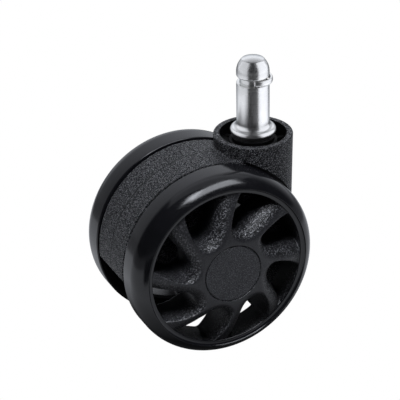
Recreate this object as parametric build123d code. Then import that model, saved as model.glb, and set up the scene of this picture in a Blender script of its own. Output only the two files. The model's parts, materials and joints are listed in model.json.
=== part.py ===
from build123d import *
from math import asin, cos, radians, sin, sqrt
import os

# Twin-wheel chair caster on a grip-ring stem. Millimetres, +Z up.
# Origin: on the stem's axis, where its straight shank leaves the flange. The axle runs along Y.

# Layout
TRAIL = 20.5             # swivel axis to axle, along X
DROP = 39.5              # origin down to the axle
WHEEL_R = 32.5
GAP = 0.05               # radial running clearance, and end float of the thin washers

# Stem
SHANK_R = 5.5
SHANK_LEN = 14.3
GROOVE_H = 2.2
NECK_R = 4.4
TIP_FOOT_ROUND = 0.6     # round under the tip, at the groove
TIP_LAND_H = 1.9
TIP_TOP_R = 3.95         # corner between the tip's curved side and its domed end
TIP_H = 4.0
TIP_BULGE = 0.25         # how far the curved side stands out from a straight taper
TIP_DOME_H = 0.8
TIP_CORNER_ROUND = 0.3
FLANGE_R = 7.7
FLANGE_ROUND = 1.35      # the flange's edge is a full round, and a cove runs from it up to the shank
FLANGE_MID_Z = -2.85
PIVOT_R = 4.25
PIVOT_BOTTOM_Z = -30.0
EDGE = 0.5               # chamfer on turned ends

# Grip ring
RING_IN_R = 4.45
RING_OUT_R = 5.5
RING_H = 2.0
RING_OUTWARD = 1.1       # how far the relaxed ring stands out of its groove
RING_SPAN = 200.0        # degrees of ring
RING_DIR = -25.0         # direction in which it stands out, degrees from +X
RING_ROUND = 0.4

# Clips and washers
CLIP_T = 0.7
CLIP_OUT_R = 6.5
CLIP_GROOVE_R = 3.4
CLIP_GROOVE_H = 0.8
CLIP_LOBE_R = 1.1
CLIP_LOBE_W = 2.4
CLIP_LOBE_ANGLES = (30.0, 150.0, 270.0)
STEM_CLIP_PLAY = 0.4     # free height between the boss and the stem's clip
WASHER_T = 0.7
THRUST_R = 6.8
SPACER_T = 0.8
SPACER_R = 7.2
OUTER_WASHER_T = 0.5
OUTER_WASHER_R = 7.0

# Fork housing
HOOD_R = 32.15
HOOD_SKIN = 2.4
HOOD_HALF_W = 9.8
HOOD_END_Z = -3.4        # lower end of the hood, from the axle
HOOD_FRONT_X = 17.0      # the hood's front skin runs down to an upright end at this X from the axle
WEB_T = 3.0
WEB_BOTTOM_Z = -11.0
WEB_BOTTOM_X = 9.0       # the web's lower edge is level between -X and +X from here, and slopes outside
WEB_FRONT_Z = -16.0
AXLE_BOSS_R = 7.5
AXLE_BOSS_HALF = 10.2
COLLAR_TOP_R = 13.3
COLLAR_TOP_Z = -3.95
COLLAR_BOTTOM_Z = -31.0
COLLAR_DRAFT = 1.0       # degrees, narrower downwards
COLLAR_WALL = 2.1
COLLAR_EDGE = 0.45
COLLAR_BLEND = 0.8
WELL_FLOOR_R = 34.8      # the collar's floor follows the wheels, at this radius from the axle
WHEEL_CLEAR_R = 33.3
STEM_BOSS_R = 7.2
STEM_BOSS_BOTTOM_Z = -27.5
STEM_END_ROOM = 5.0      # open space under the boss, for the stem's end and its clip
STEP_R = 8.0             # wider foot of the boss
STEP_DROP = 1.3
RIB_T = 1.5
RIB_DROP = 3.8           # rib tops below the collar's top
RIB_ANGLES = (0.0, 120.0, 240.0)
UNDER_POCKET_R = 10.0
UNDER_POCKET_TOP_R = 32.3

# Bushes
SOCKET_BUSH_OUT_R = 5.6
WHEEL_BUSH_OUT_R = 5.6

# Axle
AXLE_R = 4.0
AXLE_HALF = 22.9

# Wheel, by radius and by distance out from the caster's middle
TREAD_IN = 11.15
TREAD_OUT = 16.8
SHOULDER_MID = (29.95, 22.5)
CROWN_W = 24.25
CROWN_R = 27.8
LIP_MID = (27.1, 23.5)
LIP_W = 22.35
LIP_R = 26.95
TYRE_IN_R = 28.2
SEAT_W = 20.7            # the tyre's inner side slopes from here out to the rim's front
TYRE_EDGE = 0.5
CORE_BACK = 11.3
WINDOW_R = 26.95         # the windows reach out to the rim's inner wall
RIM_FRONT = 21.9
HUB_BACK = 11.2
HUB_FACE = 26.65
HUB_FACE_R = 10.4
DOME_MID = (19.5, 25.15)
DOME_RIM_W = 22.0
CAP_R = 9.8
CAP_SEAT_GAP = 0.08
CAP_T = 1.6
CAP_EDGE = 0.2
SKIRT_R = 9.0
SKIRT_T = 1.1
SKIRT_H = 2.6
HUB_FLOOR = 20.8
HUB_POCKET = (7.6, 11.8, 18.8)   # inner radius, outer radius, depth reached from the back
BLADES = 8
BLADE_ANGLE = 35.0       # where a blade's trailing flank meets the rim, degrees from +X
WINDOW_FRONT = 27.6
WINDOW_BACK = 10.4

# Window outlines as (radius, degrees), from one rim corner round the hub end to the other
FRONT_OUTLINE = ((29.5, -3.0), (27.0, -0.5), (23.0, 4.0), (19.0, 8.0), (16.2, 9.5), (14.4, 4.5),
                 (14.2, -4.0), (15.8, -15.0), (18.8, -20.5), (22.5, -26.0), (26.7, -31.5), (29.5, -35.0))
BACK_OUTLINE = ((29.5, -6.5), (27.0, -4.0), (23.0, 1.5), (19.0, 6.0), (16.2, 7.5), (14.2, 3.5),
                (13.7, -5.0), (15.4, -17.0), (18.0, -21.0), (21.5, -25.0), (26.5, -28.5), (29.5, -30.5))

AXLE_POS = (-TRAIL, 0.0, -DROP)
FLANGE_BOTTOM_Z = FLANGE_MID_Z - FLANGE_ROUND
GROOVE_TOP_Z = SHANK_LEN + GROOVE_H
TIP_Z = GROOVE_TOP_Z + TIP_LAND_H
TIP_CORNER_Z = TIP_Z + TIP_H
TOP_Z = TIP_CORNER_Z + TIP_DOME_H
THRUST_TOP_Z = FLANGE_BOTTOM_Z
STEM_BOSS_TOP_Z = THRUST_TOP_Z - WASHER_T - GAP
STEM_CLIP_Z = STEM_BOSS_BOTTOM_Z - STEM_CLIP_PLAY - CLIP_T
AXLE_CLIP_W = HUB_FLOOR + 2.0 * GAP + OUTER_WASHER_T + GAP
GROOVE_PLAY = (CLIP_GROOVE_H - CLIP_T) / 2.0
SIDES = {"near": -1.0, "far": 1.0}


def turned(*chain):
    """Solid of revolution about Z from a closed chain of curves, drawn as (radius, height)."""
    outline_curve = Curve() + list(chain)
    return revolve(Plane.XZ * make_face(outline_curve), axis=Axis.Z)


def tube(outer_r, inner_r, low, high):
    """Plain tube about Z."""
    length = high - low
    ring = Circle(outer_r) - Circle(inner_r)
    return Pos(0, 0, low) * extrude(ring, length)


def disc(radius, low, high):
    """Plain cylinder about Z."""
    return Pos(0, 0, low) * extrude(Circle(radius), high - low)


def about_axle(part):
    """Turns a piece made about Z onto the axle, centred on the caster's middle."""
    return Pos(*AXLE_POS) * Rot(90, 0, 0) * part


def wheel_side(part, side):
    """Places a piece made about +Z, outwards, on the near (-Y) or far (+Y) side."""
    plane = Plane(origin=AXLE_POS, x_dir=(-SIDES[side], 0, 0), z_dir=(0, SIDES[side], 0))
    return plane.location * part


def clip():
    """Retaining clip about Z: a flat ring, open on one side, with three gripping lobes."""
    ring = Circle(CLIP_OUT_R) - Circle(CLIP_GROOVE_R + CLIP_LOBE_R)
    for angle in CLIP_LOBE_ANGLES:
        lobe = Pos(CLIP_GROOVE_R + CLIP_LOBE_R, 0) * Rectangle(2.0 * CLIP_LOBE_R, CLIP_LOBE_W)
        lobe = Rot(0, 0, angle) * lobe
        ring += lobe
    ring -= Circle(CLIP_GROOVE_R)
    ring -= Pos(0, CLIP_OUT_R) * Rectangle(2.0 * CLIP_GROOVE_R, 2.0 * CLIP_OUT_R)
    return extrude(ring, CLIP_T)


def arc_point(start, end, bulge):
    """Middle of the arc from start to end that stands out to the right of their chord by bulge."""
    across, along = end[0] - start[0], end[1] - start[1]
    share = bulge / sqrt(across ** 2 + along ** 2)
    return ((start[0] + end[0]) / 2.0 + share * along, (start[1] + end[1]) / 2.0 - share * across)


def stem():
    """Turned stem: tip, groove, shank, flange, and the pivot that the housing swivels on."""
    groove_low = STEM_CLIP_Z - GROOVE_PLAY
    groove_high = groove_low + CLIP_GROOVE_H
    flat_r = FLANGE_R - FLANGE_ROUND
    side_step = flat_r - SHANK_R
    cove_r = (side_step ** 2 + FLANGE_MID_Z ** 2 - FLANGE_ROUND ** 2) / (2.0 * (side_step + FLANGE_ROUND))
    share = FLANGE_ROUND / (FLANGE_ROUND + cove_r)
    meet = (flat_r + share * (cove_r - side_step), FLANGE_MID_Z * (1.0 - share))
    lower = Polyline((0, PIVOT_BOTTOM_Z), (PIVOT_R - EDGE, PIVOT_BOTTOM_Z), (PIVOT_R, PIVOT_BOTTOM_Z + EDGE),
                     (PIVOT_R, groove_low), (CLIP_GROOVE_R, groove_low), (CLIP_GROOVE_R, groove_high),
                     (PIVOT_R, groove_high), (PIVOT_R, FLANGE_BOTTOM_Z), (flat_r, FLANGE_BOTTOM_Z))
    rim = ThreePointArc((flat_r, FLANGE_BOTTOM_Z), (FLANGE_R, FLANGE_MID_Z), meet)
    cove = TangentArc((SHANK_R, 0), meet, tangent=(0, -1))
    foot_r = SHANK_R - TIP_FOOT_ROUND
    foot_z = GROOVE_TOP_Z + TIP_FOOT_ROUND
    shank = Polyline((SHANK_R, 0), (SHANK_R, SHANK_LEN), (NECK_R, SHANK_LEN), (NECK_R, GROOVE_TOP_Z),
                     (foot_r, GROOVE_TOP_Z))
    foot = RadiusArc((foot_r, GROOVE_TOP_Z), (SHANK_R, foot_z), -TIP_FOOT_ROUND)
    land = Line((SHANK_R, foot_z), (SHANK_R, TIP_Z))
    corner = (TIP_TOP_R, TIP_CORNER_Z)
    side = ThreePointArc((SHANK_R, TIP_Z), arc_point((SHANK_R, TIP_Z), corner, TIP_BULGE), corner)
    dome_r = (TIP_TOP_R ** 2 + TIP_DOME_H ** 2) / (2.0 * TIP_DOME_H)
    dome = RadiusArc(corner, (0, TOP_Z), -dome_r)
    close = Line((0, TOP_Z), (0, PIVOT_BOTTOM_Z))
    solid = turned(lower, rim, cove, shank, foot, land, side, dome, close)
    corner_edge = solid.edges().filter_by(lambda edge: abs(edge.center().Z - TIP_CORNER_Z) < GAP)
    return fillet(corner_edge, TIP_CORNER_ROUND)


def grip_ring():
    """Split ring, standing out of the stem's upper groove on one side."""
    ring = extrude(Circle(RING_OUT_R) - Circle(RING_IN_R), RING_H)
    gap = [(0, 0)]
    half = RING_SPAN / 2.0
    for angle in (half, 180.0, -half):
        gap.append((4.0 * RING_OUT_R * cos(radians(angle)), 4.0 * RING_OUT_R * sin(radians(angle))))
    ring -= extrude(make_face(Polyline(*gap, close=True)), RING_H)
    ring = fillet(ring.edges().filter_by(GeomType.CIRCLE), RING_ROUND)
    low = SHANK_LEN + (GROOVE_H - RING_H) / 2.0
    return Rot(0, 0, RING_DIR) * Pos(RING_OUTWARD, 0, low) * ring


def collar():
    """Collar round the stem: drafted tube with a sloping floor, clear of both wheels."""
    height = COLLAR_TOP_Z - COLLAR_BOTTOM_Z
    outside = extrude(Circle(COLLAR_TOP_R), -height, taper=COLLAR_DRAFT)
    top_edge = outside.edges().filter_by(GeomType.CIRCLE).sort_by(Axis.Z)[-1]
    outside = Pos(0, 0, COLLAR_TOP_Z) * fillet(top_edge, COLLAR_EDGE)
    outside += collar_blend(outside)
    under_floor = about_axle(disc(WELL_FLOOR_R, -COLLAR_TOP_R, COLLAR_TOP_R))
    well = disc(COLLAR_TOP_R - COLLAR_WALL, COLLAR_BOTTOM_Z, COLLAR_TOP_Z) - under_floor
    body = outside - well
    wide = 2.0 * COLLAR_TOP_R
    for side in SIDES.values():
        body -= about_axle(disc(WHEEL_CLEAR_R, side * HOOD_HALF_W, side * wide))
    return body - about_axle(disc(HOOD_R - HOOD_SKIN / 2.0, -wide, wide))


def collar_blend(outside):
    """Fillet between the collar and the hood at the collar's back, cut to the hood's width."""
    size = 2.0 * HOOD_R
    back = COLLAR_TOP_R + 2.0 * COLLAR_BLEND
    back_half = Pos(-back / 2.0, 0, 0) * Box(back, size, -2.0 * COLLAR_BOTTOM_Z)
    joined = (outside + about_axle(disc(HOOD_R, -size / 2.0, size / 2.0))) & back_half
    meeting = []
    for edge in joined.edges():
        middle = edge.position_at(0.5)
        from_axle = sqrt((middle.X - AXLE_POS[0]) ** 2 + (middle.Z - AXLE_POS[2]) ** 2)
        from_stem = sqrt(middle.X ** 2 + middle.Y ** 2)
        if abs(from_axle - HOOD_R) < 0.01 and abs(from_stem - COLLAR_TOP_R) < 0.5:
            meeting.append(edge)
    joined = fillet(meeting, COLLAR_BLEND)
    hood_slice = Box(2.0 * size, 2.0 * HOOD_HALF_W, 2.0 * size)
    return joined & hood_slice & about_axle(tube(size, HOOD_R - HOOD_SKIN / 2.0, -size, size))


def hood():
    """Hood skin over the wheels: cut off level at the rear, and upright low down at the front."""
    skin = about_axle(tube(HOOD_R, HOOD_R - HOOD_SKIN, -HOOD_HALF_W, HOOD_HALF_W))
    reach = 2.0 * HOOD_R
    low = AXLE_POS[2] + HOOD_END_Z
    cut = Box(2.0 * reach, reach, 2.0 * reach)
    return skin - Pos(AXLE_POS[0] + HOOD_FRONT_X - reach, 0, low - reach) * cut


def web():
    """Middle wall of the hood, from under the axle boss up to the skin, clear of the stem's lower end."""
    wall = about_axle(disc(HOOD_R - HOOD_SKIN / 2.0, -WEB_T / 2.0, WEB_T / 2.0))
    skin_in = HOOD_R - HOOD_SKIN
    below = Polyline((-2.0 * HOOD_R, HOOD_END_Z), (-skin_in, HOOD_END_Z), (-WEB_BOTTOM_X, WEB_BOTTOM_Z),
                     (WEB_BOTTOM_X, WEB_BOTTOM_Z), (skin_in, WEB_FRONT_Z), (2.0 * HOOD_R, WEB_FRONT_Z),
                     (2.0 * HOOD_R, -2.0 * HOOD_R), (-2.0 * HOOD_R, -2.0 * HOOD_R), close=True)
    wall -= Pos(*AXLE_POS) * extrude(Plane.XZ * make_face(below), HOOD_R, both=True)
    stem_end = Pos(0, 0, STEM_BOSS_BOTTOM_Z) * Box(2.0 * STEP_R, WEB_T, 2.0 * STEM_END_ROOM)
    return wall - stem_end


def fork_housing():
    """Hood, collar, web, bosses and ribs, as one moulding."""
    body = hood() + collar()
    body += web()
    body += about_axle(disc(AXLE_BOSS_R, -AXLE_BOSS_HALF, AXLE_BOSS_HALF))
    pocket = tube(UNDER_POCKET_R, STEM_BOSS_R, COLLAR_BOTTOM_Z, COLLAR_TOP_Z)
    under_floor = about_axle(disc(UNDER_POCKET_TOP_R, -HOOD_HALF_W, HOOD_HALF_W))
    web_line = Box(4.0 * UNDER_POCKET_R, WEB_T, 4.0 * DROP)
    body -= (pocket & under_floor) - web_line
    body += disc(STEM_BOSS_R, STEM_BOSS_BOTTOM_Z, STEM_BOSS_TOP_Z)
    hood_inside = about_axle(disc(HOOD_R - HOOD_SKIN / 2.0, -HOOD_HALF_W, HOOD_HALF_W))
    body += disc(STEP_R, COLLAR_BOTTOM_Z, STEM_BOSS_TOP_Z - STEP_DROP) - hood_inside
    rib_len = COLLAR_TOP_R - COLLAR_WALL / 2.0
    rib_top = COLLAR_TOP_Z - RIB_DROP
    for angle in RIB_ANGLES:
        rib = Pos(rib_len / 2.0, 0, (rib_top + COLLAR_BOTTOM_Z) / 2.0)
        rib *= Box(rib_len, RIB_T, rib_top - COLLAR_BOTTOM_Z)
        body += Rot(0, 0, angle) * rib - hood_inside_wide()
    body -= disc(SOCKET_BUSH_OUT_R, PIVOT_BOTTOM_Z, COLLAR_TOP_Z)
    body -= about_axle(disc(AXLE_R, -AXLE_HALF, AXLE_HALF))
    return body


def hood_inside_wide():
    """Space under the collar's floor, over the wheels' full width."""
    return about_axle(disc(WHEEL_CLEAR_R, -COLLAR_TOP_R, COLLAR_TOP_R))


def axle():
    """Plain pin with chamfered ends and a clip groove near each end."""
    pin = disc(AXLE_R, -AXLE_HALF, AXLE_HALF)
    pin = chamfer(pin.edges().filter_by(GeomType.CIRCLE), EDGE)
    for side in SIDES.values():
        low = AXLE_CLIP_W - GROOVE_PLAY
        cut = tube(AXLE_R + 1.0, CLIP_GROOVE_R, low, low + CLIP_GROOVE_H)
        pin -= Rot(90.0 - side * 90.0, 0, 0) * cut
    return about_axle(pin)


def tyre():
    """Solid tyre about +Z: flat tread, wide round shoulder, and a lip that meets the core's rim."""
    inner = Polyline((TYRE_IN_R, SEAT_W), (TYRE_IN_R, TREAD_IN), (WHEEL_R - TYRE_EDGE, TREAD_IN),
                     (WHEEL_R, TREAD_IN + TYRE_EDGE), (WHEEL_R, TREAD_OUT))
    shoulder = ThreePointArc((WHEEL_R, TREAD_OUT), SHOULDER_MID, (CROWN_R, CROWN_W))
    lip = ThreePointArc((CROWN_R, CROWN_W), LIP_MID, (LIP_R, LIP_W))
    close = Polyline((LIP_R, LIP_W), (LIP_R, RIM_FRONT), (TYRE_IN_R, SEAT_W))
    return turned(inner, shoulder, lip, close)


def core_blank():
    """Wheel core before its windows are cut: hub, dome and rim, turned about +Z."""
    pocket_in, pocket_out, pocket_depth = HUB_POCKET
    seat_w = HUB_FACE - CAP_T - CAP_SEAT_GAP
    seat_r = CAP_R + CAP_SEAT_GAP
    inside = Polyline((HUB_FACE_R, HUB_FACE), (seat_r, HUB_FACE), (seat_r, seat_w),
                      (SKIRT_R + GAP, seat_w), (SKIRT_R + GAP, HUB_FLOOR),
                      (WHEEL_BUSH_OUT_R, HUB_FLOOR), (WHEEL_BUSH_OUT_R, HUB_BACK), (pocket_in, HUB_BACK),
                      (pocket_in, pocket_depth), (pocket_out, pocket_depth), (pocket_out, CORE_BACK),
                      (TYRE_IN_R, CORE_BACK), (TYRE_IN_R, SEAT_W), (LIP_R, RIM_FRONT),
                      (LIP_R, DOME_RIM_W))
    dome = ThreePointArc((LIP_R, DOME_RIM_W), DOME_MID, (HUB_FACE_R, HUB_FACE))
    return turned(inside, dome)


def outline(points):
    """Closed face through (radius, degrees) points: a smooth curve and one straight side."""
    path = []
    for radius, degrees_round in points:
        angle = radians(BLADE_ANGLE + degrees_round)
        path.append((radius * cos(angle), radius * sin(angle)))
    return make_face(Spline(*path) + Line(path[-1], path[0]))


def window_tool():
    """Solid that cuts one window between two blades: drafted, and stopped by the rim's inner wall."""
    front = Pos(0, 0, WINDOW_FRONT) * outline(FRONT_OUTLINE)
    back = Pos(0, 0, WINDOW_BACK) * outline(BACK_OUTLINE)
    return loft([back, front]) & disc(WINDOW_R, WINDOW_BACK, WINDOW_FRONT)


def wheel_core():
    """Bladed wheel core about +Z."""
    core = core_blank()
    tool = window_tool()
    for number in range(BLADES):
        core -= Rot(0, 0, number * 360.0 / BLADES) * tool
    return core


def hub_cap():
    """Flush cap with a snap skirt behind it."""
    face = disc(CAP_R, HUB_FACE - CAP_T, HUB_FACE)
    face = fillet(face.edges().filter_by(GeomType.CIRCLE).sort_by(Axis.Z)[-1], CAP_EDGE)
    return face + tube(SKIRT_R, SKIRT_R - SKIRT_T, HUB_FACE - CAP_T - SKIRT_H, HUB_FACE - CAP_T)


def all_nodes():
    """Every node, by name, in its place."""
    nodes = {
        "stem": stem(),
        "grip_ring": grip_ring(),
        "thrust_washer": tube(THRUST_R, PIVOT_R + GAP, THRUST_TOP_Z - WASHER_T, THRUST_TOP_Z),
        "stem_clip": Pos(0, 0, STEM_CLIP_Z) * clip(),
        "socket_bush": tube(SOCKET_BUSH_OUT_R, PIVOT_R + GAP, STEM_BOSS_BOTTOM_Z, STEM_BOSS_TOP_Z),
        "fork_housing": fork_housing(),
        "axle": axle(),
    }
    wheel_nodes = {
        "spacer_washer": tube(SPACER_R, AXLE_R + GAP, AXLE_BOSS_HALF + GAP, AXLE_BOSS_HALF + GAP + SPACER_T),
        "outer_washer": tube(OUTER_WASHER_R, AXLE_R + GAP, HUB_FLOOR + 2.0 * GAP,
                             HUB_FLOOR + 2.0 * GAP + OUTER_WASHER_T),
        "axle_clip": Pos(0, 0, AXLE_CLIP_W) * clip(),
        "wheel_bush": tube(WHEEL_BUSH_OUT_R, AXLE_R + GAP, HUB_BACK, HUB_FLOOR),
        "wheel_core": wheel_core(),
        "tyre": tyre(),
        "hub_cap": hub_cap(),
    }
    for name, piece in wheel_nodes.items():
        for side in SIDES:
            nodes[name + "_" + side] = wheel_side(piece, side)
    return nodes


os.makedirs("parts", exist_ok=True)
for node_name, node_part in all_nodes().items():
    export_step(node_part, os.path.join("parts", node_name + ".step"))
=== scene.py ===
import bpy
import json
import math
import numpy as np
from mathutils import Matrix, Vector


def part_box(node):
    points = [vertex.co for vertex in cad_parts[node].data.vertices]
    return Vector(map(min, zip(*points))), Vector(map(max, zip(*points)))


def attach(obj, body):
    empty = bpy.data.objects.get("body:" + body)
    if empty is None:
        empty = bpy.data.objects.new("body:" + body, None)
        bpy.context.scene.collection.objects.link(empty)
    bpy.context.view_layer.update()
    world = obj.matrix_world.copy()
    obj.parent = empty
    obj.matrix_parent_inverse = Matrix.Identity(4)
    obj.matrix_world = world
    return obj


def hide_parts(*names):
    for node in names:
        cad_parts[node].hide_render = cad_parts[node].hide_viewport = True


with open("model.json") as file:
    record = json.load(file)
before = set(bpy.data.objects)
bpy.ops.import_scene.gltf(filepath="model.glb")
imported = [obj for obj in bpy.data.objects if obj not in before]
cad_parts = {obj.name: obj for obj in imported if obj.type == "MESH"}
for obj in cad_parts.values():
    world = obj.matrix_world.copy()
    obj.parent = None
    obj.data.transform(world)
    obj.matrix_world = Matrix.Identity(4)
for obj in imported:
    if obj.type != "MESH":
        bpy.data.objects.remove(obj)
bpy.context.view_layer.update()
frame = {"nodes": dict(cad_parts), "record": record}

# The camera's and the pieces' sizes are in millimetres, turned to metres by MM; the studio's are in metres.
MM = 0.001
SIDES = {"near": -1.0, "far": 1.0}       # which way along Y each wheel's outer side looks


def middle(node):
    """Centre of a CAD node's box, in metres."""
    low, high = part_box(node)
    return (low + high) / 2.0


AXLE = middle("axle")
FLOOR_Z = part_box("tyre_near")[0].z

# ---------------------------------------------------------------- camera, floor and lights

CAMERA_AZIMUTH = -24.594
CAMERA_ELEVATION = 27.327
CAMERA_ROLL = -0.988
CAMERA_DISTANCE = 694.6
CAMERA_LENS = 187.52
CAMERA_AIM = Vector((0.68, 0.0, 14.63))   # from the axle's middle
SENSOR_WIDTH = 36.0
CAMERA_CLIP = (0.05, 20.0)               # metres

FLOOR_SHINE = 0.75       # the floor's glow in reflections
FLOOR_BOUNCE = 0.17      # and the light that it throws back
SHADE_REACH = (0.030, 0.068)   # distances from the axle's middle between which the floor's glow comes up
SHADE_LEFT = 0.05        # what is left of the glow right under the wheels
SWEEP_REACH = (0.185, 0.205)   # and between which it goes down again
SWEEP_LEFT = 0.33        # and of the glow beyond the lit part of the table
WALL_BRIGHT = 0.80
ROOM_DIM = 0.02
LIGHT_TINT = (0.90, 0.93, 1.0)
PANEL_TURN = 80.0        # white panels left and right of the metal stem, in degrees from the camera
PANEL_DISTANCE = 0.11
PANEL_WIDTH = 0.20
PANELS = (               # name, side, radiance, and the heights from which to which it stands
    ("panel_left", -1.0, 0.68, 0.0, 0.30),
    ("panel_right", 1.0, 1.06, 0.0, 0.30),
    ("panel_right_low", 1.0, 0.80, -0.07, 0.0),
    ("panel_left_low", -1.0, 0.22, -0.07, 0.0),
)
CLOSE_PANEL = (0.0105, 0.014, 0.010, 0.003)    # in the collar: distance, width, height and place in height
CLOSE_PANEL_RADIANCE = 0.20
FLAG_REACH = (0.12, 0.60)
FLAG_SPREAD = 36.0       # degrees to each side of the camera
FLAG_GLOW = 0.012
FLAG_STEPS = 12
FLAG_LIFT = 0.0005
FLOOR_GAP = 0.00005      # the floor lies this far under the wheels
WALL_SPREAD = (0.20, 0.90)     # how far round from the side to straight behind the wall lights up
FLOOR_HALF = 3.0
SHINE_HALF = 1.2
BACKDROP_HALF = 4.0
BACKDROP_HEIGHTS = (-1.0, 7.0)
WHITE = (1.0, 1.0, 1.0)
METAL = ("stem_turned", "grip_ring_formed", "thrust_washer")
TYRES = ("tyre_near_moulded", "tyre_far_moulded")
CORES = ("wheel_core_near_moulded", "wheel_core_far_moulded")


def direction(azimuth, elevation):
    """Unit vector from the object towards a place in the studio; azimuth 0 is -Y and 90 is +X."""
    a, e = math.radians(azimuth), math.radians(elevation)
    return Vector((math.sin(a) * math.cos(e), -math.cos(a) * math.cos(e), math.sin(e)))


def make_camera():
    """Long-lens camera, aimed near the axle and rolled a little."""
    data = bpy.data.cameras.new("camera")
    data.lens = CAMERA_LENS
    data.sensor_width = SENSOR_WIDTH
    data.clip_start, data.clip_end = CAMERA_CLIP
    camera = bpy.data.objects.new("camera", data)
    bpy.context.scene.collection.objects.link(camera)
    back = direction(CAMERA_AZIMUTH, CAMERA_ELEVATION)
    level = Vector((back.y, -back.x, 0.0)).normalized() * -1.0
    up = back.cross(level)
    roll = math.radians(CAMERA_ROLL)
    side = level * math.cos(roll) + up * math.sin(roll)
    top = up * math.cos(roll) - level * math.sin(roll)
    turn = Matrix((side, top, back)).transposed()
    place = AXLE + (CAMERA_AIM + back * CAMERA_DISTANCE) * MM
    camera.matrix_world = Matrix.Translation(place) @ turn.to_4x4()
    bpy.context.scene.camera = camera


def stage_mesh(name, points, faces, colour, strength):
    """A plain glowing surface of the studio."""
    mesh = bpy.data.meshes.new(name)
    mesh.from_pydata(points, [], faces)
    surface = bpy.data.objects.new(name, mesh)
    bpy.context.scene.collection.objects.link(surface)
    material = bpy.data.materials.new(name)
    material.use_nodes = True
    nodes = material.node_tree.nodes
    nodes.remove(nodes["Principled BSDF"])
    glow = nodes.new("ShaderNodeEmission")
    glow.inputs["Color"].default_value = (*colour, 1.0)
    glow.inputs["Strength"].default_value = strength
    material.node_tree.links.new(glow.outputs[0], nodes["Material Output"].inputs["Surface"])
    mesh.materials.append(material)
    return surface


def shade_under_object(surface, strength):
    """Let a floor's glow fade out under the wheels, where little light gets in."""
    material = surface.data.materials[0]
    coordinates = add(material, "ShaderNodeTexCoord")
    away = add(material, "ShaderNodeVectorMath", operation="LENGTH")
    link(material, coordinates.outputs["Object"], away.inputs[0])
    near = remap(material, away.outputs["Value"], *SHADE_REACH, strength * SHADE_LEFT, strength)
    far = remap(material, away.outputs["Value"], *SWEEP_REACH, 1.0, SWEEP_LEFT)
    link(material, multiply(material, near, far), material.node_tree.nodes["Emission"].inputs["Strength"])


def seen_by(surface, camera, glossy, diffuse):
    """Which rays see a studio surface."""
    surface.visible_camera = camera
    surface.visible_glossy = glossy
    surface.visible_diffuse = diffuse
    surface.visible_shadow = False
    surface.visible_transmission = camera


def square(half):
    """Corners and the one face of a level square round the origin."""
    return [(-half, -half, 0), (half, -half, 0), (half, half, 0), (-half, half, 0)], [(0, 1, 2, 3)]


def make_floor():
    """Pale floor that prints as paper white, and the dimmer light that the object gets back from it."""
    points, faces = square(FLOOR_HALF)
    place = (AXLE.x, AXLE.y, FLOOR_Z - FLOOR_GAP)
    floor = stage_mesh("floor", points, faces, WHITE, 1.0)
    floor.location = place
    seen_by(floor, True, False, False)
    points, faces = square(SHINE_HALF)
    for name, strength, glossy in (("floor_shine", FLOOR_SHINE, True), ("floor_bounce", FLOOR_BOUNCE, False)):
        light = stage_mesh(name, points, faces, LIGHT_TINT, strength)
        light.location = place
        seen_by(light, False, glossy, not glossy)
        shade_under_object(light, strength)
    corners = square(BACKDROP_HALF)[0]
    low, high = [[(x, y, height) for x, y, z in corners] for height in BACKDROP_HEIGHTS]
    sides = [(i, (i + 1) % 4, (i + 1) % 4 + 4, i + 4) for i in range(4)]
    paper = stage_mesh("backdrop", low + high, sides + [(4, 5, 6, 7), (3, 2, 1, 0)], WHITE, 1.0)
    seen_by(paper, True, False, False)


def softbox(name, azimuth, elevation, distance, width, height, radiance, only=(), never=(), target=AXLE):
    """Area light aimed at a target, that lights only some pieces, or all but some."""
    data = bpy.data.lights.new(name, "AREA")
    data.shape = "RECTANGLE"
    data.size, data.size_y = width, height
    data.energy = radiance * math.pi * width * height
    data.color = LIGHT_TINT
    lamp = bpy.data.objects.new(name, data)
    bpy.context.scene.collection.objects.link(lamp)
    towards = direction(azimuth, elevation)
    lamp.location = target + towards * distance
    lamp.rotation_mode = "QUATERNION"
    lamp.rotation_quaternion = towards.to_track_quat("Z", "Y")
    lamp.visible_camera = False
    linked = bpy.data.collections.new(name + "_pieces")
    for piece in only + never:
        linked.objects.link(frame["nodes"][piece] if piece in frame["nodes"] else bpy.data.objects[piece])
    for entry in linked.collection_objects:
        entry.light_linking.link_state = "INCLUDE" if only else "EXCLUDE"
    lamp.light_linking.receiver_collection = linked
    return lamp


def front_flag():
    """Dark cloth low in front of the table's edge, that only reflections see."""
    stem = middle("stem")
    points, faces = [], []
    for i in range(FLAG_STEPS + 1):
        turn = CAMERA_AZIMUTH + FLAG_SPREAD * (2.0 * i / FLAG_STEPS - 1.0)
        for reach in FLAG_REACH:
            towards = direction(turn, 0.0) * reach
            points.append((stem.x + towards.x, stem.y + towards.y, FLOOR_Z + FLAG_LIFT))
    for i in range(FLAG_STEPS):
        faces.append((2 * i, 2 * i + 1, 2 * i + 3, 2 * i + 2))
    seen_by(stage_mesh("flag_front", points, faces, WHITE, FLAG_GLOW), False, True, False)


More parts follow.
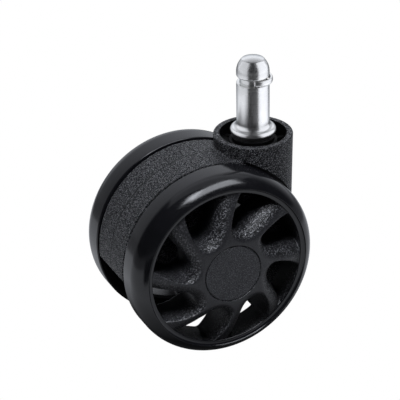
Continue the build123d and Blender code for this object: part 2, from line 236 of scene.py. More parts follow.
def make_world():
    """Light of the room: a bright wall behind the object, and a dim room in front of it."""
    world = bpy.data.worlds.new("studio")
    world.use_nodes = True
    tree = world.node_tree
    background = tree.nodes["Background"]
    coordinates = tree.nodes.new("ShaderNodeTexCoord")
    away = direction(CAMERA_AZIMUTH, 0.0) * -1.0
    aligned = tree.nodes.new("ShaderNodeVectorMath")
    aligned.operation = "DOT_PRODUCT"
    aligned.inputs[1].default_value = away
    tree.links.new(coordinates.outputs["Generated"], aligned.inputs[0])
    level = tree.nodes.new("ShaderNodeMapRange")
    level.interpolation_type = "SMOOTHSTEP"
    level.inputs["From Min"].default_value = WALL_SPREAD[0]
    level.inputs["From Max"].default_value = WALL_SPREAD[1]
    level.inputs["To Min"].default_value = ROOM_DIM
    level.inputs["To Max"].default_value = WALL_BRIGHT
    tree.links.new(aligned.outputs["Value"], level.inputs["Value"])
    background.inputs["Color"].default_value = (*LIGHT_TINT, 1.0)
    tree.links.new(level.outputs["Result"], background.inputs["Strength"])
    bpy.context.scene.world = world


def make_studio():
    """World, lamps and flag. Each lamp's line: azimuth, elevation, distance, width, height, radiance."""
    make_world()
    bpy.context.scene.view_settings.view_transform = "Standard"
    softbox("softbox_top", 20.0, 60.0, 0.9, 0.80, 0.38, 6.0, only=TYRES)
    softbox("softbox_top_left", -22.0, 60.0, 0.9, 0.24, 0.34, 6.0, only=TYRES)
    softbox("ceiling", CAMERA_AZIMUTH + 180.0, 78.0, 1.0, 1.6, 0.8, 0.50, never=METAL)
    softbox("key", -15.0, 62.0, 1.2, 0.40, 0.40, 20.0, never=METAL + TYRES + CORES)
    softbox("key_cores", -42.0, 68.0, 1.2, 0.40, 0.40, 24.0, only=CORES)
    stem = Vector((middle("stem").x, middle("stem").y, 0.0))
    for name, side, radiance, low, high in PANELS:
        place = stem + Vector((0.0, 0.0, (low + high) / 2.0))
        softbox(name, CAMERA_AZIMUTH + side * PANEL_TURN, 0.0, PANEL_DISTANCE, PANEL_WIDTH, high - low,
                radiance, only=METAL, target=place)
    softbox("panel_back", CAMERA_AZIMUTH + 180.0, 27.0, 0.30, 0.30, 0.12, 0.5, only=METAL, target=stem)
    distance, width, height, above = CLOSE_PANEL
    softbox("panel_left_close", CAMERA_AZIMUTH - PANEL_TURN, 0.0, distance, width, height,
            CLOSE_PANEL_RADIANCE, only=METAL, target=stem + Vector((0.0, 0.0, above)))
    front_flag()


# ---------------------------------------------------------------- mesh helpers

def mesh_object(name, points, faces, material):
    """A smooth piece from points in millimetres and faces that all have the same number of corners."""
    mesh = bpy.data.meshes.new(name)
    mesh.vertices.add(len(points))
    mesh.vertices.foreach_set("co", (np.asarray(points, np.float32) * MM).ravel())
    faces = np.asarray(faces, np.int32)
    count, corners = faces.shape
    mesh.loops.add(count * corners)
    mesh.loops.foreach_set("vertex_index", faces.ravel())
    mesh.polygons.add(count)
    mesh.polygons.foreach_set("loop_start", np.arange(0, count * corners, corners, dtype=np.int32))
    mesh.polygons.foreach_set("use_smooth", np.full(count, True))
    mesh.update(calc_edges=True)
    mesh.validate()
    mesh.materials.append(material)
    piece = bpy.data.objects.new(name, mesh)
    bpy.context.scene.collection.objects.link(piece)
    return piece


def lathe(profile, segments):
    """Points and quads of a ring turned about the third axis from a closed (radius, height) profile."""
    profile = np.asarray(profile, float)
    angle = np.linspace(0.0, 2.0 * np.pi, segments, endpoint=False)
    r, h = profile[:, 0], profile[:, 1]
    points = np.stack([np.outer(np.cos(angle), r), np.outer(np.sin(angle), r),
                       np.broadcast_to(h, (segments, len(r)))], axis=-1).reshape(-1, 3)
    n = len(r)
    ring = np.arange(segments)[:, None] * n + np.arange(n)[None, :]
    ahead = np.roll(ring, -1, axis=0)
    quads = np.stack([ring, ahead, np.roll(ahead, -1, axis=1), np.roll(ring, -1, axis=1)], axis=-1)
    return points, quads.reshape(-1, 4)


def wheel_place(points, side):
    """Points made about +Z outwards, in millimetres, moved onto the axle at one side of the caster."""
    out = SIDES[side]
    x, y, z = points.T
    moved = np.stack([-out * x, out * z, y], axis=-1)
    return moved + np.array(AXLE) / MM


def surface_nets(field, low, step, wrap_first=False):
    """Points and quads of the zero surface of a field on a regular grid; inside is negative.

    With wrap_first the first axis is periodic, as an angle is.
    """
    if wrap_first:
        field = np.concatenate([field, field[:1]], axis=0)
    inside = field < 0.0
    cells = tuple(n - 1 for n in field.shape)
    total = np.zeros(cells + (3,))
    count = np.zeros(cells)
    for axis in range(3):
        others = [a for a in range(3) if a != axis]
        for da in (0, 1):
            for db in (0, 1):
                start = [slice(None)] * 3
                start[axis] = slice(0, -1)
                ahead = list(start)
                ahead[axis] = slice(1, None)
                for a, d in zip(others, (da, db)):
                    span = slice(d, d + cells[a])
                    start[a] = ahead[a] = span
                f0, f1 = field[tuple(start)], field[tuple(ahead)]
                crossed = inside[tuple(start)] != inside[tuple(ahead)]
                share = np.where(crossed, f0 / np.where(crossed, f0 - f1, 1.0), 0.0)
                total[..., axis] += share
                total[..., others[0]] += crossed * da
                total[..., others[1]] += crossed * db
                count += crossed
    used = count > 0
    index = np.cumsum(used.ravel()).reshape(cells) - 1
    corner = np.argwhere(used)
    points = (corner + total[used] / count[used][:, None]) * step + low
    quads = []
    for axis in range(3):
        b, c = (axis + 1) % 3, (axis + 2) % 3
        here = [slice(None)] * 3
        here[axis] = slice(0, -1)
        there = list(here)
        there[axis] = slice(1, None)
        i0, i1 = inside[tuple(here)], inside[tuple(there)]
        for sign in (True, False):
            edge = np.argwhere((i0 == sign) & (i1 != sign))
            if wrap_first and axis != 0:
                edge = edge[edge[:, 0] < cells[0]]
            keep = np.ones(len(edge), bool)
            for a in (b, c):
                if not (wrap_first and a == 0):
                    keep &= (edge[:, a] > 0) & (edge[:, a] < cells[a])
            edge = edge[keep]
            ring = []
            for ob, oc in ((-1, -1), (0, -1), (0, 0), (-1, 0)):
                cell = edge.copy()
                cell[:, b] += ob
                cell[:, c] += oc
                if wrap_first:
                    cell[:, 0] %= cells[0]
                ring.append(index[cell[:, 0], cell[:, 1], cell[:, 2]])
            quad = np.stack(ring, axis=1)
            quads.append(quad if sign else quad[:, ::-1])
    return points, np.concatenate(quads)


def round_both(a, b, radius):
    """Field of what is inside both a and b, with the edge between them rounded to a radius."""
    corner = np.hypot(np.maximum(a + radius, 0.0), np.maximum(b + radius, 0.0)) - radius
    return np.where((a + radius > 0.0) & (b + radius > 0.0), corner, np.maximum(a, b))


def blend_either(a, b, radius):
    """Field of what is inside a or b, with a fillet of about that radius between them."""
    return -round_both(-a, -b, radius)


def smooth_curve(points, count):
    """Points evenly spread along a natural cubic spline through the given ones."""
    points = np.asarray(points, float)
    knots = np.r_[0.0, np.cumsum(np.hypot(*np.diff(points, axis=0).T))]
    gap = np.diff(knots)
    n = len(points)
    matrix = np.eye(n)
    right = np.zeros((n, points.shape[1]))
    for i in range(1, n - 1):
        matrix[i, i - 1:i + 2] = gap[i - 1], 2.0 * (gap[i - 1] + gap[i]), gap[i]
        right[i] = 6.0 * ((points[i + 1] - points[i]) / gap[i] - (points[i] - points[i - 1]) / gap[i - 1])
    bend = np.linalg.solve(matrix, right)
    at = np.linspace(0.0, knots[-1], count)
    i = np.clip(np.searchsorted(knots, at, side="right") - 1, 0, n - 2)
    h = gap[i][:, None]
    left, ahead = (at - knots[i])[:, None], (knots[i + 1] - at)[:, None]
    return (bend[i] * ahead ** 3 + bend[i + 1] * left ** 3) / (6.0 * h) \
        + (points[i] / h - bend[i] * h / 6.0) * ahead + (points[i + 1] / h - bend[i + 1] * h / 6.0) * left


def arc(centre, radius, start, end, count):
    """Points on a circle between two angles in degrees."""
    turn = np.radians(np.linspace(start, end, count))
    return [(centre[0] + radius * math.cos(a), centre[1] + radius * math.sin(a)) for a in turn]


def circle_through(p, q, s):
    """Centre and radius of the circle through three points."""
    matrix = 2.0 * np.array([[q[0] - p[0], q[1] - p[1]], [s[0] - p[0], s[1] - p[1]]])
    right = np.array([q[0] ** 2 - p[0] ** 2 + q[1] ** 2 - p[1] ** 2,
                      s[0] ** 2 - p[0] ** 2 + s[1] ** 2 - p[1] ** 2])
    centre = np.linalg.solve(matrix, right)
    return centre, math.hypot(p[0] - centre[0], p[1] - centre[1])


# ---------------------------------------------------------------- materials

def new_material(name, colour, roughness, metallic=0.0):
    """A material and its Principled shader."""
    material = bpy.data.materials.new(name)
    material.use_nodes = True
    shader = material.node_tree.nodes["Principled BSDF"]
    shader.inputs["Base Color"].default_value = (*colour, 1.0)
    shader.inputs["Roughness"].default_value = roughness
    shader.inputs["Metallic"].default_value = metallic
    return material, shader


def add(material, kind, **settings):
    """A new node with its named inputs set."""
    node = material.node_tree.nodes.new(kind)
    for key, value in settings.items():
        if hasattr(node, key):
            setattr(node, key, value)
        else:
            node.inputs[key.replace("_", " ")].default_value = value
    return node


def link(material, out, into):
    """Join one node's output to another's input."""
    material.node_tree.links.new(out, into)


def grain(material, size_mm, detail=2.0, roughness=0.5):
    """Noise in object space whose lumps are about that size."""
    coordinates = add(material, "ShaderNodeTexCoord")
    noise = add(material, "ShaderNodeTexNoise", Scale=1.0 / (size_mm * MM), Detail=detail,
                Roughness=roughness)
    link(material, coordinates.outputs["Object"], noise.inputs["Vector"])
    return noise.outputs["Fac"]


def remap(material, value, low, high, to_low, to_high):
    """A value brought from one range to another, and held within it."""
    node = add(material, "ShaderNodeMapRange", From_Min=low, From_Max=high, To_Min=to_low, To_Max=to_high)
    link(material, value, node.inputs["Value"])
    return node.outputs["Result"]


def multiply(material, a, b):
    """Product of two values."""
    node = add(material, "ShaderNodeMath", operation="MULTIPLY")
    link(material, a, node.inputs[0])
    link(material, b, node.inputs[1])
    return node.outputs[0]


def tint(material, value, dark, light):
    """Colour between dark and light by a value from 0 to 1."""
    node = material.node_tree.nodes.new("ShaderNodeMix")
    node.data_type = "RGBA"
    node.inputs["A"].default_value = (*dark, 1.0)
    node.inputs["B"].default_value = (*light, 1.0)
    link(material, value, node.inputs["Factor"])
    return node.outputs["Result"]


def blend(material, share, first, second):
    """Mix of two colours that other nodes make."""
    node = material.node_tree.nodes.new("ShaderNodeMix")
    node.data_type = "RGBA"
    link(material, first, node.inputs["A"])
    link(material, second, node.inputs["B"])
    link(material, share, node.inputs["Factor"])
    return node.outputs["Result"]


def bump(material, shader, height, depth_mm, onto=None):
    """Relief of a depth, on its own or on top of another."""
    node = add(material, "ShaderNodeBump", Strength=1.0, Distance=depth_mm * MM)
    link(material, height, node.inputs["Height"])
    if onto is not None:
        link(material, onto, node.inputs["Normal"])
    link(material, node.outputs["Normal"], shader.inputs["Normal"])
    return node.outputs["Normal"]


def spark_plastic(name, dark, light, grain_mm, depth_mm, roughness, gloss):
    """Moulded plastic with a spark-eroded texture: small pits whose edges catch the light here and there."""
    material, shader = new_material(name, light, roughness)
    shader.inputs["Specular IOR Level"].default_value = gloss
    fine = grain(material, grain_mm, 1.0, 0.6)
    speck = remap(material, fine, 0.50, 0.68, 0.0, 1.0)
    link(material, tint(material, speck, dark, light), shader.inputs["Base Color"])
    spread = remap(material, fine, 0.35, 0.65, roughness + 0.18, roughness - 0.12)
    link(material, spread, shader.inputs["Roughness"])
    bump(material, shader, fine, depth_mm)
    return material


def darken(material, level):
    """Scale what already feeds the base colour."""
    base = material.node_tree.nodes["Principled BSDF"].inputs["Base Color"]
    scale = add(material, "ShaderNodeVectorMath", operation="SCALE")
    link(material, base.links[0].from_socket, scale.inputs[0])
    link(material, level, scale.inputs["Scale"])
    link(material, scale.outputs["Vector"], base)


WELL_R = 11.35 * MM      # the well in the collar, just outside its wall
WELL_FLOOR_Z = -24.0 * MM
# how dark the painted shade in the collar's well leaves the plastic
WELL_PAINTED_SHADE = 0.02
WELL_EDGE = 0.1 * MM
PARTING_LINE = (0.14 * MM, 0.34 * MM)    # half width of the line's dark middle, and of all of it
PARTING_DARK = 0.10
HOUSING_GRAIN = 0.34


def housing_plastic():
    """Grained plastic, with the mould's parting line down the middle, and painted shade darkening it in the
    collar's well.
    """
    material = spark_plastic("housing_plastic", (0.001, 0.001, 0.002), (0.23, 0.232, 0.24),
                             HOUSING_GRAIN, 0.22, 0.45, 0.21)
    coordinates = add(material, "ShaderNodeTexCoord")
    place = add(material, "ShaderNodeSeparateXYZ")
    link(material, coordinates.outputs["Object"], place.inputs["Vector"])
    side = add(material, "ShaderNodeMath", operation="ABSOLUTE")
    link(material, place.outputs["Y"], side.inputs[0])
    off_line = remap(material, side.outputs[0], *PARTING_LINE, PARTING_DARK, 1.0)
    level = add(material, "ShaderNodeVectorMath", operation="MULTIPLY")
    level.inputs[1].default_value = (1.0, 1.0, 0.0)
    link(material, coordinates.outputs["Object"], level.inputs[0])
    from_stem = add(material, "ShaderNodeVectorMath", operation="LENGTH")
    link(material, level.outputs["Vector"], from_stem.inputs[0])
    within = remap(material, from_stem.outputs["Value"], WELL_R - WELL_EDGE, WELL_R + WELL_EDGE, 1.0, 0.0)
    above = remap(material, place.outputs["Z"], WELL_FLOOR_Z - 2.0 * WELL_EDGE, WELL_FLOOR_Z, 0.0, 1.0)
    # painted shade: inside the collar's well, where little light falls, the plastic is darkened almost to
    # black
    outside = remap(material, multiply(material, within, above), 0.0, 1.0, 1.0, WELL_PAINTED_SHADE)
    darken(material, multiply(material, off_line, outside))
    return material


SATIN_GRAIN = 0.28
FLANK_GRAIN = 0.50


def core_plastic(name):
    """Wheel plastic: satin on the hub's face, and coarsely spark-eroded on the blades' sloping flanks, whose
    brighter speckle fades out deep in the windows as painted shade.
    """
    material, shader = new_material(name, (0.02, 0.02, 0.023), 0.42)
    shader.inputs["Specular IOR Level"].default_value = 0.6
    flank = add(material, "ShaderNodeAttribute", attribute_name="flank").outputs["Fac"]
    coarse = grain(material, FLANK_GRAIN, 0.5, 0.6)
    satin = grain(material, SATIN_GRAIN, 2.0, 0.6)
    face_speck = remap(material, satin, 0.35, 0.65, 0.0, 1.0)
    face = tint(material, face_speck, (0.005, 0.005, 0.006), (0.036, 0.036, 0.041))
    flank_speck = remap(material, coarse, 0.50, 0.68, 0.0, 1.0)
    rough = tint(material, flank_speck, (0.001, 0.001, 0.002), (0.16, 0.162, 0.17))
    # the attribute carries the flanks' texture and, deep in the windows, painted shade
    link(material, blend(material, flank, face, rough), shader.inputs["Base Color"])
    link(material, remap(material, coarse, 0.35, 0.65, 0.52, 0.34), shader.inputs["Roughness"])
    pits = bump(material, shader, multiply(material, coarse, flank), 0.30)
    bump(material, shader, satin, 0.05, pits)
    return material


def tyre_material():
    """Glossy moulded polyurethane with faint flow marks."""
    material, shader = new_material("polyurethane", (0.006, 0.006, 0.007), 0.16)
    flow = grain(material, 6.0, 3.0)
    colour = tint(material, flow, (0.005, 0.005, 0.006), (0.009, 0.009, 0.011))
    link(material, colour, shader.inputs["Base Color"])
    sheen = remap(material, grain(material, 1.5, 4.0), 0.3, 0.7, 0.13, 0.2)
    link(material, sheen, shader.inputs["Roughness"])
    bump(material, shader, grain(material, 0.5, 2.0), 0.004)
    return material


TURNING_SCALE = 40.0     # the turning marks hardly change along their own way


def turned_metal(name, dark, light, edge, roughness, ring_mm, axis):
    """Metal with faint turning marks and uneven plating; edge is its tint where it turns away."""
    material, shader = new_material(name, light, roughness, 1.0)
    shader.inputs["Specular Tint"].default_value = (*edge, 1.0)
    coordinates = add(material, "ShaderNodeTexCoord")
    stretch = add(material, "ShaderNodeMapping")
    scale = [TURNING_SCALE] * 3
    scale[axis] = 1.0 / (ring_mm * MM)
    stretch.inputs["Scale"].default_value = scale
    link(material, coordinates.outputs["Object"], stretch.inputs["Vector"])
    lines = add(material, "ShaderNodeTexNoise", Scale=1.0, Detail=3.0, Roughness=0.6)
    link(material, stretch.outputs["Vector"], lines.inputs["Vector"])
    cloud = grain(material, 3.0, 3.0)
    plating = tint(material, remap(material, cloud, 0.3, 0.7, 0.0, 1.0), dark, light)
    link(material, plating, shader.inputs["Base Color"])
    marks = remap(material, lines.outputs["Fac"], 0.3, 0.7, roughness - 0.01, roughness + 0.01)
    link(material, marks, shader.inputs["Roughness"])
    bump(material, shader, grain(material, 0.25, 2.0), 0.0012)
    return material


ZINC_DARK = (0.86, 0.85, 0.83)
ZINC_LIGHT = (0.93, 0.92, 0.90)
ZINC_EDGE = (0.45, 0.48, 0.50)
GREY_EDGE = (0.7, 0.7, 0.7)
BLACK_EDGE = (0.02, 0.02, 0.02)
PIVOT_DARK_Z = -8.0 * MM     # below this the stem's pivot is made dark
PIVOT_DARK = 0.03
PIVOT_DARK_EDGE = 1.0 * MM


def plated_stem():
    """Bright plated steel, darker on the pivot that turns in the housing, below a set height."""
    material = turned_metal("plated_steel", ZINC_DARK, ZINC_LIGHT, ZINC_EDGE, 0.28, 0.25, 2)
    coordinates = add(material, "ShaderNodeTexCoord")
    place = add(material, "ShaderNodeSeparateXYZ")
    link(material, coordinates.outputs["Object"], place.inputs["Vector"])
    darken(material, remap(material, place.outputs["Z"], PIVOT_DARK_Z - PIVOT_DARK_EDGE, PIVOT_DARK_Z, PIVOT_DARK, 1.0))
    return material


def nylon(name, dark, light):
    """Moulded nylon, slightly cloudy."""
    material, shader = new_material(name, light, 0.4)
    link(material, tint(material, grain(material, 1.2, 3.0), dark, light), shader.inputs["Base Color"])
    bump(material, shader, grain(material, 0.3), 0.01)
    return material


def make_materials():
    """One material for each slot of the record, and a bright one for the grip ring."""
    return {
        "housing_plastic": housing_plastic(),
        "wheel_plastic": core_plastic("wheel_plastic"),
        "cap_plastic": spark_plastic("cap_plastic", (0.010, 0.010, 0.012), (0.095, 0.096, 0.106),
                                     SATIN_GRAIN, 0.05, 0.42, 0.5),
        "tyre_polyurethane": tyre_material(),
        "plated_steel": plated_stem(),
        "washer_steel": turned_metal("washer_steel", (0.45, 0.45, 0.46), (0.6, 0.6, 0.6),
                                     GREY_EDGE, 0.3, 0.2, 2),
        # the clips are blackened
        "spring_steel": turned_metal("spring_steel", (0.004, 0.004, 0.005), (0.010, 0.010, 0.012),
                                     BLACK_EDGE, 0.45, 0.2, 2),
        "ring_steel": turned_metal("ring_steel", ZINC_DARK, ZINC_LIGHT, GREY_EDGE, 0.30, 0.2, 2),
        "axle_steel": turned_metal("axle_steel", (0.40, 0.40, 0.41), (0.55, 0.55, 0.56),
                                   GREY_EDGE, 0.28, 0.2, 1),
        "bush_nylon": nylon("bush_nylon", (0.62, 0.58, 0.48), (0.74, 0.71, 0.62)),
        "washer_nylon": nylon("washer_nylon", (0.012, 0.012, 0.014), (0.03, 0.03, 0.033)),
    }


def paint_nodes(materials):
    """Every CAD node takes the material of its slot."""
    for part in frame["record"]["subparts"]:
        mesh = frame["nodes"][part["node"]].data
        mesh.materials.clear()
        mesh.materials.append(materials[part["material_slot"]])


# ---------------------------------------------------------------- tyres

TREAD_R = 32.5
TREAD_IN = 11.15
SHOULDER_W = 16.8
SHOULDER_R = 23.1
CROWN_W = 24.4
LIP_R = 26.95
LIP_W = 22.35
LIP_BACK_W = 21.9        # where the lip meets the rim's front
SEAT_R = 28.2            # the tyre's seat on the rim
SEAT_W = 20.7
TREAD_EDGE = 0.45
TYRE_SEGMENTS = 288
SHOULDER_FULL = 2.08     # a little fuller than an ellipse, which would be 2
SHOULDER_END = 55.5      # degrees round the shoulder at which the lip curls in


def tyre_profile():
    """Closed (radius, width) outline: tread, elliptical shoulder, curled lip, and the side on the core."""
    quarter = np.linspace(0.0, math.pi / 2.0, 12)
    inner = [(TREAD_R - TREAD_EDGE * (1.0 - math.sin(a)), TREAD_IN + TREAD_EDGE * (1.0 - math.cos(a)))
             for a in quarter]
    full = 2.0 / SHOULDER_FULL
    shoulder = [(SHOULDER_R + (TREAD_R - SHOULDER_R) * math.cos(a) ** full,
                 SHOULDER_W + (CROWN_W - SHOULDER_W) * math.sin(a) ** full)
                for a in np.linspace(0.0, math.radians(SHOULDER_END), 48)]
    top_r, top_w = shoulder[-1]
    curl = [(LIP_R + (top_r - LIP_R) * math.cos(a), LIP_W + (top_w - LIP_W) * (1.0 - math.sin(a)))
            for a in quarter[1:]]
    back = [(LIP_R, LIP_BACK_W), (SEAT_R, SEAT_W), (SEAT_R, TREAD_IN)]
    return inner + shoulder + curl + back


def make_tyres(material):
    """The near and the far tyre."""
    for side in SIDES:
        points, quads = lathe(tyre_profile(), TYRE_SEGMENTS)
        tyre = mesh_object("tyre_" + side + "_moulded", wheel_place(points, side), quads, material)
        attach(tyre, "wheel_" + side)
        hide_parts("tyre_" + side)


# ---------------------------------------------------------------- stem and grip ring

SHANK_R = 5.5
SHANK_LEN = 14.3
GROOVE_TOP = 16.5
NECK_R = 4.4
TIP_LAND_Z = 18.35
TIP_CORNER = (3.95, 22.4)
TIP_ROUND_MID = (5.0, 20.6)
TIP_TOP_Z = 23.2
FLANGE_R = 7.7
FLANGE_ROUND = 1.35
FLANGE_MID_Z = -2.85
PIVOT_R = 4.25
PIVOT_BOTTOM_Z = -30.0
CLIP_GROOVE = (3.4, -28.65, -27.85)     # radius, lower and upper side
PIVOT_CHAMFER = 0.5
SHANK_EDGE = 0.25        # rounds: the shank's top, the neck's two ends, and the land above the groove
NECK_FILLET = 0.2
GROOVE_FILLET = 0.3
LAND_EDGE = 0.6
DOME_START = (0.25, 0.12)               # how far in from the tip's corner its dome starts, and how far up
STEM_SEGMENTS = 192

RING_MID_R = 4.975
RING_HALF_T = 0.525
RING_HALF_H = 1.0
RING_OUTWARD = 1.1       # how far the ring's middle stands off the stem's axis
RING_SPAN = 198.0        # degrees
RING_DIR = -25.0
RING_SQUARE = 2.6        # how square the wire's section is, where 2 is an ellipse
RING_SECTION = 24        # points round the wire, along it, and along each of its ends
RING_STEPS = 96
RING_END_STEPS = 8


def stem_profile():
    """Open (radius, height) outline of the turned stem, from the pivot's end up to the tip."""
    flat_r = FLANGE_R - FLANGE_ROUND
    side = flat_r - SHANK_R
    cove = (side ** 2 + FLANGE_MID_Z ** 2 - FLANGE_ROUND ** 2) / (2.0 * (side + FLANGE_ROUND))
    meet = math.degrees(math.atan2(-FLANGE_MID_Z, SHANK_R + cove - flat_r))
    groove_r, groove_low, groove_high = CLIP_GROOVE
    line = [(0.001, PIVOT_BOTTOM_Z), (PIVOT_R - PIVOT_CHAMFER, PIVOT_BOTTOM_Z),
            (PIVOT_R, PIVOT_BOTTOM_Z + PIVOT_CHAMFER), (PIVOT_R, groove_low), (groove_r, groove_low),
            (groove_r, groove_high), (PIVOT_R, groove_high), (PIVOT_R, FLANGE_MID_Z - FLANGE_ROUND)]
    line += arc((flat_r, FLANGE_MID_Z), FLANGE_ROUND, -90.0, meet, 32)
    line += arc((SHANK_R + cove, 0.0), cove, 180.0 + meet, 180.0, 24)[1:]
    line += [(SHANK_R, z) for z in np.linspace(0.4, SHANK_LEN - 0.4, 24)]
    line += arc((SHANK_R - SHANK_EDGE, SHANK_LEN - SHANK_EDGE), SHANK_EDGE, 0.0, 90.0, 8)
    line.append((NECK_R + NECK_FILLET, SHANK_LEN))
    line += arc((NECK_R + NECK_FILLET, SHANK_LEN + NECK_FILLET), NECK_FILLET, 270.0, 180.0, 6)
    line += [(NECK_R, z) for z in np.linspace(SHANK_LEN + 0.5, GROOVE_TOP - 0.6, 6)]
    line += arc((NECK_R + GROOVE_FILLET, GROOVE_TOP - GROOVE_FILLET), GROOVE_FILLET, 180.0, 90.0, 6)
    line += arc((SHANK_R - LAND_EDGE, GROOVE_TOP + LAND_EDGE), LAND_EDGE, 270.0, 360.0, 12)
    dome_low = TIP_CORNER[1] - 0.15
    shoulder = smooth_curve([(SHANK_R, GROOVE_TOP + 1.0), (SHANK_R, TIP_LAND_Z), TIP_ROUND_MID,
                             (TIP_CORNER[0] + 0.02, dome_low)], 64)[1:]
    line += [tuple(p) for p in shoulder]
    dome_r, dome_z = TIP_CORNER[0] - DOME_START[0], TIP_CORNER[1] + DOME_START[1]
    centre, radius = circle_through((dome_r, dome_z), (0.0, TIP_TOP_Z), (-dome_r, dome_z))
    for share in np.linspace(1.0, 0.0003, 24):
        r = dome_r * share
        line.append((r, centre[1] + math.sqrt(radius ** 2 - r ** 2)))
    return line


def open_lathe(profile, segments):
    """Points and quads of a solid turned from an open outline that starts and ends on the axis."""
    points, quads = lathe(profile, segments)
    return points, quads.reshape(segments, len(profile), 4)[:, :-1].reshape(-1, 4)


def make_stem(material):
    """Smooth turned stem; its own origin is on its axis, at the flange."""
    points, quads = open_lathe(stem_profile(), STEM_SEGMENTS)
    points[:, :2] += np.array(middle("stem"))[:2] / MM
    points[:, 2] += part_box("stem")[1].z / MM - TIP_TOP_Z
    stem = mesh_object("stem_turned", points, quads, material)
    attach(stem, "stem")
    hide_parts("stem")


def squarer(wave):
    """Cosine or sine bent towards the side of a rounded square."""
    return np.sign(wave) * np.abs(wave) ** (2.0 / RING_SQUARE)


def make_grip_ring(material):
    """Split ring of flattened round wire, with rounded ends, standing out of the stem's groove."""
    half = math.radians(RING_SPAN / 2.0)
    end_len = RING_HALF_T / RING_MID_R
    even = np.linspace(-half, half, RING_STEPS)
    first_end = -half + end_len * (1.0 - np.cos(np.linspace(0.0, math.pi / 2.0, RING_END_STEPS)))
    last_end = half - end_len * (1.0 - np.cos(np.linspace(math.pi / 2.0, 0.0, RING_END_STEPS)))
    turn = np.concatenate([first_end, even[np.abs(even) < half - end_len], last_end])
    from_end = np.clip((half - np.abs(turn)) / end_len, 0.0, 1.0)
    shrink = np.maximum(np.sqrt(1.0 - (1.0 - from_end) ** 2), 0.02)
    around = np.linspace(0.0, 2.0 * math.pi, RING_SECTION, endpoint=False)
    rows = []
    for angle, share in zip(turn, shrink):
        across = RING_HALF_T * share * squarer(np.cos(around))
        up = RING_HALF_H * (0.5 + 0.5 * share) * share ** 0.3 * squarer(np.sin(around))
        r = RING_MID_R + across
        rows.append(np.stack([r * math.cos(angle) + RING_OUTWARD, r * math.sin(angle), up], axis=1))
    points = np.concatenate(rows)
    turn_dir = math.radians(RING_DIR)
    spin = np.array([[math.cos(turn_dir), -math.sin(turn_dir)], [math.sin(turn_dir), math.cos(turn_dir)]])
    points[:, :2] = points[:, :2] @ spin.T + np.array(middle("stem"))[:2] / MM
    points[:, 2] += middle("grip_ring").z / MM
    ring = np.arange(len(points)).reshape(len(rows), RING_SECTION)
    ahead = np.roll(ring, -1, axis=1)
    quads = np.stack([ring[:-1], ahead[:-1], ahead[1:], ring[1:]], axis=-1).reshape(-1, 4)
    grip = mesh_object("grip_ring_formed", points, quads, material)
    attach(grip, "grip_ring")
    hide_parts("grip_ring")


# ---------------------------------------------------------------- wheel cores

BLADES = 8
BLADE_ANGLE = 35.0
CORE_BACK = 11.3
HUB_FACE = 26.65
HUB_FACE_R = 10.4
DOME_MID = (19.5, 25.15)
DOME_RIM = (26.95, 22.0)
RIM_R = 27.0
RIM_OUT_R = 28.2
FRONT_OUTLINE = ((29.5, -3.0), (27.0, -0.5), (23.0, 4.0), (19.0, 8.0), (16.2, 9.5), (14.4, 4.5),
                 (14.2, -4.0), (15.8, -15.0), (18.8, -20.5), (22.5, -26.0), (26.7, -31.5), (29.5, -35.0))
BACK_OUTLINE = ((29.5, -6.5), (27.0, -4.0), (23.0, 1.5), (19.0, 6.0), (16.2, 7.5), (14.2, 3.5),
                (13.7, -5.0), (15.4, -17.0), (18.0, -21.0), (21.5, -25.0), (26.5, -28.5), (29.5, -30.5))

# How round a blade's edge is: from the rim along its crisp side, round the hub end, back along the flank
EDGE_ALONG = (0.0, 0.36, 0.50, 0.70, 1.0)
EDGE_ROUND = (0.4, 0.4, 3.7, 5.2, 3.6)
BACK_EDGE = 0.4          # the round of the blades' back edges, and how deep it is looked for
BACK_EDGE_DEPTH = 1.0
SPOKE_ROOT = 0.6         # how far the blades run into the rim, and the fillet there
RIM_FILLET = 0.7
RIM_SLOPE = 0.95         # of the rim's front under the tyre, and what makes distances to it about true
RIM_SCALE = 0.72
CAP_SEAT = (9.88, 24.97)          # hollows in the hub: radius, and the width at which the floor lies
CLIP_SPACE = (9.05, 20.8)
BUSH_BORE = (5.6, 10.0)
BACK_POCKET = (7.6, 11.8, 18.8)   # inner and outer radius, and the width at which the floor lies
STEPS_PER_BLADE = 64     # the grid that the core is meshed on
CORE_STEP = 0.32
GRID_RADII = (5.3, 28.9)
GRID_WIDTHS = (10.85, 27.2)
OUTLINE_STEPS = 90
FLANK_SHADE_FROM = 15.5        # the flanks' coarse texture fades in between these widths, a painted shade that keeps the windows' depths darker
FLANK_SHADE_FULL = 23.5
FACE_SQUARE = 0.97       # a face that looks outwards this squarely has none of it
FACE_FADE = 0.17


def polar(points):
    """Points in x and y from (radius, degrees)."""
    radius, degrees = np.asarray(points, float).T
    angle = np.radians(degrees)
    return np.stack([radius * np.cos(angle), radius * np.sin(angle)], axis=1)


def distance_to_outline(x, y, outline):
    """Signed distance to an open outline, negative in the window, and how far along the nearest point is."""
    best = np.full(x.shape, 1e9)
    along = np.zeros(x.shape)
    within = np.zeros(x.shape, bool)
    far = outline[[0, -1]] * 3.0     # closes the window far outside the rim
    closed = np.concatenate([far[:1], outline, far[1:]])
    count = len(outline) - 1
    for i in range(len(closed) - 1):
        p, q = closed[i], closed[i + 1]
        if 0 < i <= count:
            d = q - p
            t = np.clip(((x - p[0]) * d[0] + (y - p[1]) * d[1]) / (d @ d), 0.0, 1.0)
            gap = np.hypot(x - p[0] - t * d[0], y - p[1] - t * d[1])
            near = gap < best
            best = np.where(near, gap, best)
            along = np.where(near, (i - 1 + t) / count, along)
    for p, q in zip(closed, np.roll(closed, -1, axis=0)):
        spans = (p[1] > y) != (q[1] > y)
        cross = p[0] + (y - p[1]) * (q[0] - p[0]) / np.where(q[1] == p[1], 1e-9, q[1] - p[1])
        within ^= spans & (x < cross)
    return np.where(within, -best, best), along


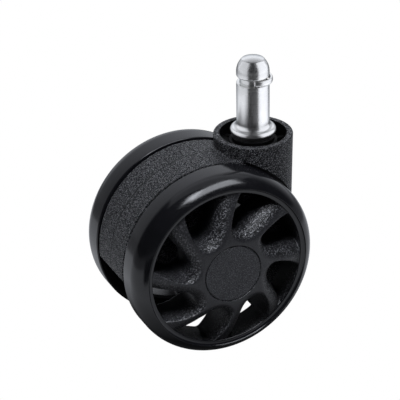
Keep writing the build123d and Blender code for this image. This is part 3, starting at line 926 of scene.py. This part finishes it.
def core_field():
    """Field of the bladed core over (angle, radius, width), with its grid."""
    steps = STEPS_PER_BLADE
    turn = 2.0 * math.pi / BLADES / steps
    radii = np.arange(*GRID_RADII, CORE_STEP)
    widths = np.arange(*GRID_WIDTHS, CORE_STEP)
    reach = 2 * steps
    angles = np.arange(-reach, steps + steps // 2) * turn
    a, r = np.meshgrid(angles, radii, indexing="ij")
    x, y = r * np.cos(a), r * np.sin(a)
    back = smooth_curve(polar(BACK_OUTLINE), OUTLINE_STEPS)
    front = smooth_curve(polar(FRONT_OUTLINE), OUTLINE_STEPS)
    arc_centre, arc_radius = circle_through((HUB_FACE_R, HUB_FACE), DOME_MID, DOME_RIM)
    sector = np.zeros((steps, len(radii), len(widths)))
    flat_r = np.broadcast_to(radii, (steps, len(radii)))
    for k, w in enumerate(widths):
        share = (w - CORE_BACK) / (HUB_FACE - CORE_BACK)
        gap, along = distance_to_outline(x, y, back + (front - back) * share)
        slack = np.interp(along, EDGE_ALONG, EDGE_ROUND)
        dome = np.where(flat_r < HUB_FACE_R, w - HUB_FACE,
                        np.hypot(flat_r - arc_centre[0], w - arc_centre[1]) - arc_radius)
        dome = np.maximum(dome, w - HUB_FACE)
        layer = None
        for shift in range(-1, 3):
            first = reach - shift * steps
            if first < 0 or first + steps > len(angles):
                continue
            part = slice(first, first + steps)
            wall, radius = -gap[part], slack[part]
            base = np.full_like(wall, CORE_BACK - w)
            if w > CORE_BACK + BACK_EDGE_DEPTH:
                piece = round_both(round_both(dome, wall, radius), base, 0.0)
            else:
                piece = np.maximum(round_both(base, wall, BACK_EDGE), dome)
            layer = piece if layer is None else np.maximum(layer, piece)
        rim = np.maximum(np.maximum(RIM_R - flat_r, flat_r - RIM_OUT_R), CORE_BACK - w)
        rim = np.maximum(rim, rim_front(flat_r, w))
        spokes = np.maximum(layer, flat_r - (RIM_R + SPOKE_ROOT))
        body = blend_either(spokes, rim, RIM_FILLET)
        sector[:, :, k] = np.maximum(body, -hub_hollows(flat_r, w))
    return sector, turn, radii, widths


def rim_front(r, w):
    """Front of the rim: level at the lip, sloping back under the tyre."""
    return np.maximum(w - LIP_BACK_W, (w - LIP_BACK_W + (r - LIP_R) * RIM_SLOPE) * RIM_SCALE)


def hub_hollows(r, w):
    """Cap seat, clip space, bush bore and the pocket at the back; negative inside them."""
    seat, space, bore = [np.maximum(r - radius, floor - w)
                         for radius, floor in (CAP_SEAT, CLIP_SPACE, BUSH_BORE)]
    inner, outer, floor = BACK_POCKET
    pocket = np.maximum(np.maximum(inner - r, r - outer), w - floor)
    return np.minimum.reduce([seat, space, bore, pocket])


def mark_flanks(core, width):
    """Mark the blades' textured flanks: 0 on the hub's face, 0 deep in the windows as painted shade, 1 on the
    flanks.
    """
    mesh = core.data
    normals = np.zeros(len(mesh.vertices) * 3, np.float32)
    mesh.vertex_normals.foreach_get("vector", normals)
    turned = np.clip((FACE_SQUARE - np.abs(normals[1::3])) / FACE_FADE, 0.0, 1.0)
    # painted shade: deeper in the windows the brighter coarse speckle gives way to the darker satin colour
    outer = np.clip((width - FLANK_SHADE_FROM) / (FLANK_SHADE_FULL - FLANK_SHADE_FROM), 0.0, 1.0)
    flank = mesh.attributes.new("flank", "FLOAT", "POINT")
    flank.data.foreach_set("value", (turned * outer).astype(np.float32))


def make_cores(material):
    """The near and the far bladed core, from one field repeated round the axle."""
    sector, turn, radii, widths = core_field()
    field = np.tile(sector, (BLADES, 1, 1))
    step = np.array([turn, radii[1] - radii[0], widths[1] - widths[0]])
    low = np.array([math.radians(BLADE_ANGLE), radii[0], widths[0]])
    points, quads = surface_nets(field, low, step, wrap_first=True)
    a, r, w = points.T
    points = np.stack([r * np.cos(a), r * np.sin(a), w], axis=1)
    for side in SIDES:
        core = mesh_object("wheel_core_" + side + "_moulded", wheel_place(points, side), quads, material)
        mark_flanks(core, w)
        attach(core, "wheel_" + side)
        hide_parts("wheel_core_" + side)


make_camera()
make_floor()
materials = make_materials()
paint_nodes(materials)
make_stem(materials["plated_steel"])
make_grip_ring(materials["ring_steel"])
make_tyres(materials["tyre_polyurethane"])
make_cores(materials["wheel_plastic"])
make_studio()
